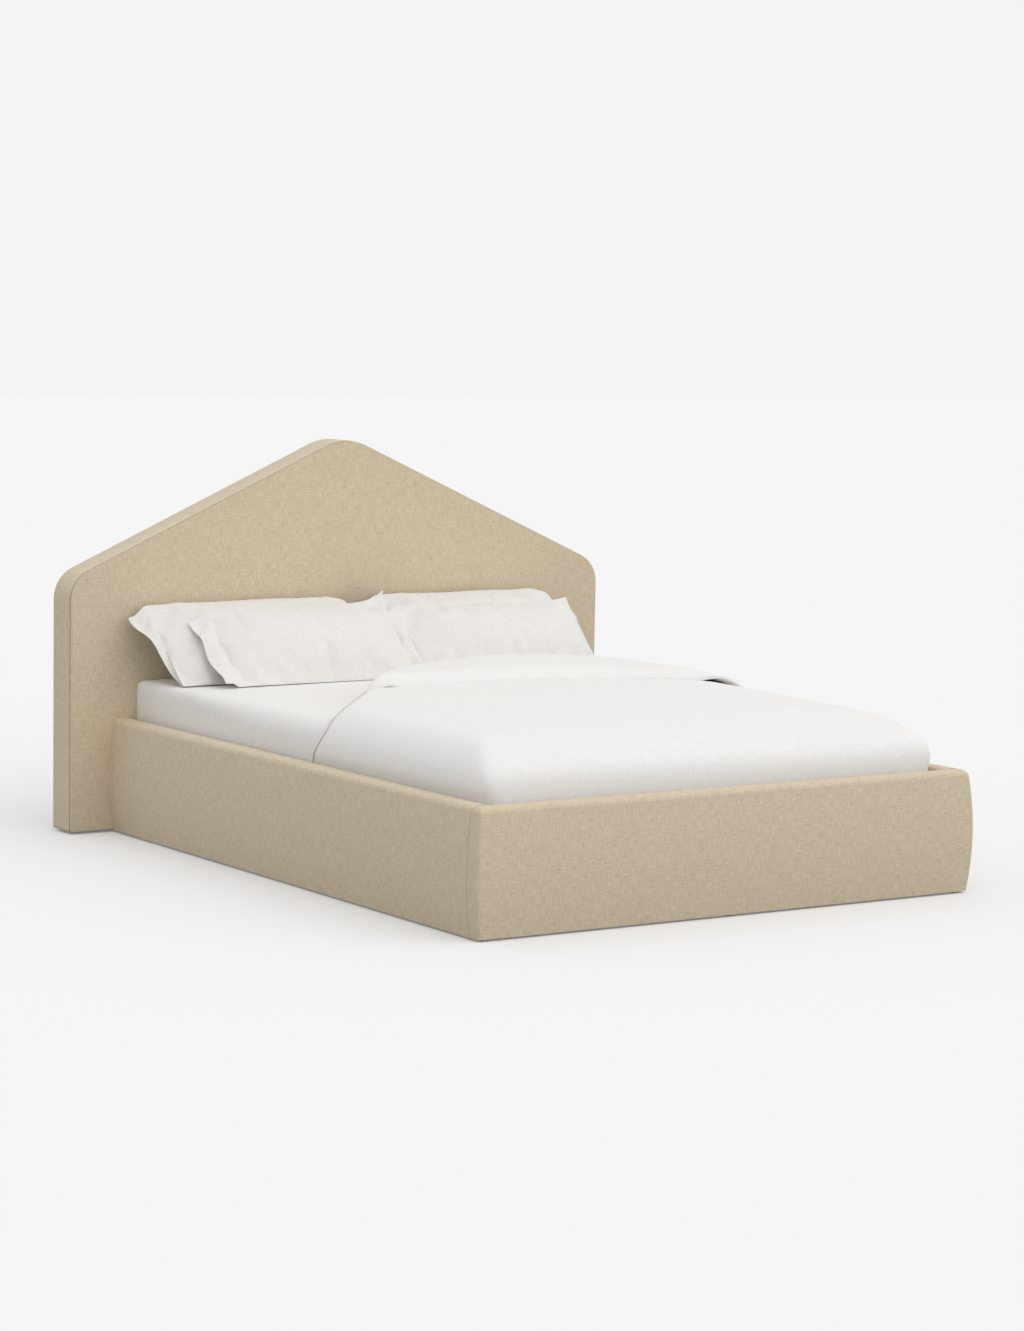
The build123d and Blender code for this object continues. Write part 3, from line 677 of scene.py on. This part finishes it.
bm = fitted_cloth(DUVET_HALF, (DUVET_LOW.y, DUVET_LOW.y + DUVET_LENGTH), DUVET_EDGE_TOP, DUVET_LOW.z,
                  DUVET_EDGE, DUVET_EDGE, DUVET_SQUARE, DUVET_STEP, False)
for vert in bm.verts:
    x, y, z = vert.co
    lying = ease((z - LIES_FROM) / LIES_OVER)
    share = (y - DUVET_LOW.y) / DUVET_LENGTH
    lap = SIDE_LAP * ease((0.46 - z) / LIES_OVER)
    head = soft_line(HEAD_LINE, x) + lap * (abs(x) > DUVET_HALF - 0.03)
    vert.co.y = y = DUVET_LOW.y + share * (head - DUVET_LOW.y)
    rise = duvet_rise(x, y) * lying
    edge_share = min((head - y) * 0.8 / EDGE_ROLL, 1.0)
    roll = math.sqrt(max(1 - (1 - edge_share) ** 2, 0))
    bulge = 1 - ease((z - RAIL_HIGH.z - 0.06) / 0.07)
    above_rail = ease((z - RAIL_HIGH.z) / 0.03)
    vert.co.x += math.copysign(SIDE_BULGE * bulge * above_rail * ease((abs(x) - 0.70) / 0.05), x)
    vert.co.y -= FOOT_BULGE * bulge * ease((DUVET_LOW.y + 0.08 - y) / 0.06)
    over = max(z + rise - DUVET_RESTS, 0)
    vert.co.z = min(z + rise, DUVET_RESTS) + over * (0.12 + 0.88 * roll)
row_number = bm.verts.layers.int["row"]
seam_row = max(vert[row_number] for vert in bm.verts) - SEAM_ROWS_IN
head_edge = [vert.co.copy() for vert in bm.verts if vert[row_number] == seam_row]
head_edge.sort(key=lambda place: math.atan2(place.x, place.z - DUVET_LOW.z))
duvet = new_piece("duvet_body", bm, bed_linen, "duvet")
thicken(duvet, DUVET_SHELL)
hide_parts("duvet")


# A fine seam closes the cover along its head edge. Its cord is real, but its linen is painted darker than
# the duvet's, as painted shade for the thin shadow line along that edge.
line = bpy.data.curves.new("duvet_seam", "CURVE")
line.dimensions = "3D"
line.bevel_depth = SEAM_R
line.bevel_resolution = 1
run = line.splines.new("POLY")
run.points.add(len(head_edge) - 1)
for point, place in zip(run.points, head_edge):
    on_side = ease((abs(place.x) - 0.70) / 0.06)
    point.co = (place.x + math.copysign(SEAM_R * 0.6 * on_side, place.x), place.y, place.z + SEAM_R * 0.4, 1)
cord = bpy.data.objects.new("duvet_seam", line)
bm = bmesh.new()
bm.from_mesh(bpy.data.meshes.new_from_object(cord))
bpy.data.objects.remove(cord)
# The seam's linen is darker than the duvet's: painted shade for the shadow line at the edge.
seam_painted_shade = woven("linen_seam_painted_shade", "C9C3B8", "B4AEA2", 0.001, 0.004, 0.0002, 0.1)
seam = new_piece("duvet_head_seam", bm, seam_painted_shade, "duvet")
lay_cloth(seam.data)


# The turned-back end lies over the body; its front is the duvet's own hemmed edge.
BAND_THICK = 0.026
BAND_COLUMNS, BAND_ROWS = 96, 34
BAND_LEFT = -0.475
BAND_ROLL, BAND_SWELLS_OVER = 0.055, 0.12
BAND_GAPES = ((0.690, 0.055, 0.021), (-0.40, 0.03, 0.007))    # place across, width, height
bm = bmesh.new()
bmesh.ops.create_grid(bm, x_segments=BAND_COLUMNS, y_segments=BAND_ROWS, size=0.5)
for vert in bm.verts:
    x = BAND_LEFT + (DUVET_HALF - BAND_LEFT) * (vert.co.x + 0.5)
    share = vert.co.y + 0.5
    front, head = soft_line(FRONT_LINE, x), soft_line(HEAD_LINE, x) + 0.012
    depth = max(head - front, 0.004)
    y = front + share * depth
    body = DUVET_EDGE_TOP + duvet_rise(x, y)
    side = max(abs(x) - (DUVET_HALF - DUVET_EDGE[0]), 0) / DUVET_EDGE[0]
    body -= DUVET_EDGE[2] * (1 - max(1 - side ** DUVET_SQUARE[1], 0) ** (1 / DUVET_SQUARE[1]))
    from_head, from_front = (1 - share) * depth, share * depth
    roll = math.sqrt(max(1 - (1 - min(from_head * 0.9 / BAND_ROLL, 1)) ** 2, 0))
    swell = 0.003 + BAND_THICK * ease(from_front / BAND_SWELLS_OVER)
    gape = sum(height * math.exp(-((x - place) / width) ** 2) for place, width, height in BAND_GAPES)
    swell += gape * (1 - ease(from_front / 0.06))
    low = DUVET_RESTS - 0.03 * side
    vert.co = (x, y, low + (body + swell - low) * roll)
turned = new_piece("duvet_turned_end", bm, bed_linen, "duvet")
thicken(turned, DUVET_SHELL)
lay_cloth(turned.data)


# ---- Pillows -------------------------------------------------------------------------------------
# Four pillows in plain linen cases, two against the headboard and two leaning on them. Each case is
# longer than its filling, so its open left end hangs slack, and its corners stand out as ears.
case_linen = woven("washed_pillow_linen", "EDEBE8", "E3E0DC", BEDDING_YARN, BEDDING_SLUB,
                   BEDDING_RELIEF, BEDDING_SHEEN)
CASE_STEP = 0.0125
CASE_FLAP = 0.070
PILLOW_THICK = 0.062
PILLOW_LEAN = math.radians(44)
FLAP_DROOP, FLAP_FOLD = 0.040, 0.040
PUCKER_DEPTH = 0.022
FILLING_FRAMES = 28


def simulate(piece, frames, **settings):
    """Runs a cloth simulation without gravity, and keeps its last shape."""
    cloth = piece.modifiers.new("cloth", "CLOTH")
    for name, value in settings.items():
        setattr(cloth.settings, name, value)
    cloth.settings.effector_weights.gravity = 0.0
    cloth.collision_settings.use_collision = False
    cloth.point_cache.frame_start, cloth.point_cache.frame_end = 1, frames
    for step in range(1, frames + 1):
        scene.frame_set(step)
    set_modifiers(piece)
    scene.frame_set(1)


def plumpness(x, y, width, height):
    """How full a case is at a place on it, from nought at its seams to one in the middle."""
    inner = (x + width / 2 - CASE_FLAP) / (width - CASE_FLAP)
    if inner <= 0:
        return 0
    across = 1 - (1 - 2 * inner) ** 2 if inner < 0.5 else max(1 - (2 * inner - 1) ** 3.2, 0) ** 0.55
    return across * max(1 - abs(2 * y / height) ** 2.4, 0) ** 0.55


def stuffed_case(name, body, width, height, ears, seed):
    """A plump case with slack in its faces, puckered by its stitched seams. The flap gets no filling.
    ears is how far the top corner at its closed end stands out, or how far it is rounded off."""
    bm = bmesh.new()
    bmesh.ops.create_grid(bm, x_segments=round(width / CASE_STEP), y_segments=round(height / CASE_STEP),
                          size=0.5)
    bmesh.ops.scale(bm, vec=(width, height, 1), verts=bm.verts)
    flat_weave(bm)
    made = bmesh.ops.extrude_face_region(bm, geom=bm.faces[:])["geom"]
    back = {v for v in made if isinstance(v, bmesh.types.BMVert)}
    sewn = []
    for vert in bm.verts:
        x, y, _ = vert.co
        u, v = 2 * x / width, 2 * y / height
        sewn.append(max(abs(u), abs(v)) > 0.995)
        wander = noise.noise_vector(Vector((x * 7, y * 7, seed)))
        out = 0.003 + PILLOW_THICK * plumpness(x, y, width, height)
        vert.co = (x * (1 + ears * 0.25 * max(u, 0) ** 4 * v ** 6) + wander.x * 0.003,
                   y * (1 + ears * max(u, 0) ** 7 * (v > 0)) + wander.y * 0.002,
                   -out if vert in back else out)
        vert.co.z += wander.z * 0.005
    case = new_piece(name, bm, case_linen, body)
    filled, seam = (case.vertex_groups.new(name=group) for group in ("filled", "seam"))
    for vert, is_sewn in zip(case.data.vertices, sewn):
        filled.add([vert.index], plumpness(vert.co.x, vert.co.y, width, height), "REPLACE")
        seam.add([vert.index], 1.0 if is_sewn else 0.0, "REPLACE")
    simulate(case, FILLING_FRAMES, quality=6, mass=0.25, tension_stiffness=14, compression_stiffness=14,
             shear_stiffness=5, bending_stiffness=0.05, air_damping=3.0, use_pressure=True,
             uniform_pressure_force=2.5, vertex_group_pressure="filled", shrink_min=-0.06,
             vertex_group_mass="seam")
    return case


def lean(case, centre, size, front_of, turn, slant, seed):
    """Brings a case to its size, leans it back, lets its flap droop in a fold, puckers it above its bottom
    seam, and flattens it where it meets the sheet and what is behind it. slant is how much further the
    flap reaches at its top."""
    back = Vector((0, math.cos(PILLOW_LEAN), math.sin(PILLOW_LEAN)))
    face = Vector((0, -math.sin(PILLOW_LEAN), math.cos(PILLOW_LEAN)))
    places = [vert.co.copy() for vert in case.data.vertices]
    low, high = ([pick(place[i] for place in places) for i in range(3)] for pick in (min, max))
    for vert in case.data.vertices:
        x, up, out = (((vert.co[i] - low[i]) / (high[i] - low[i]) - 0.5) * size[i] for i in range(3))
        flap = ease((-x - size[0] / 2 + CASE_FLAP * 1.2) / CASE_FLAP)
        share = up / size[1] + 0.5
        x += slant * flap * (1 - share)
        up -= FLAP_DROOP * flap * share
        out += FLAP_FOLD * flap * noise.noise(Vector((up * 9, x * 5, seed)))
        pucker = max(noise.noise(Vector((x * 20, 4.0, seed))) - 0.10, 0)
        out -= PUCKER_DEPTH * pucker * math.exp(-((share - 0.16) / 0.13) ** 2) * ease(out / 0.02)
        behind = front_of - out
        if behind > 0:
            out = front_of - behind * 0.15
        place = centre + Vector((x * math.cos(turn), 0, x * math.sin(turn))) + back * up + face * out
        place.z = max(place.z, SHEET_HIGH.z + SHEET_CROWN + 0.002 + (place.z - SHEET_HIGH.z - 0.01) * 0.1)
        place.y = min(place.y, HEAD_LOW.y - 0.002)
        vert.co = place
    rounded = case.modifiers.new("rounded", "SUBSURF")
    rounded.levels = rounded.render_levels = 1
    set_modifiers(case)


# Each is its centre, its size (across, up its slope, through), what it leans on as a distance behind its
# own middle, its turn, the slant of its flap, its ears, and a seed for its creases.
PILLOWS = {
    "pillow_back_left": (Vector((-0.415, 0.872, 0.599)), (0.80, 0.345, 0.145), -0.050,
                         0.010, 0.09, -0.14, 1.3),
    "pillow_back_right": (Vector((0.395, 0.872, 0.600)), (0.75, 0.345, 0.145), -0.050,
                          0.00, 0.03, -0.14, 2.9),
    "pillow_front_left": (Vector((-0.277, 0.799, 0.611)), (0.75, 0.382, 0.135), -0.030,
                          0.0, 0.01, 0.34, 5.2),
    "pillow_front_right": (Vector((0.412, 0.784, 0.586)), (0.76, 0.335, 0.135), -0.030,
                           -0.010, 0.03, 0.12, 7.7),
}
for node, (centre, size, front_of, turn, slant, ears, seed) in PILLOWS.items():
    case = stuffed_case(f"{node}_case", node, size[0], size[1], ears, seed)
    lean(case, centre, size, front_of, turn, slant, seed)
    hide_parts(node)
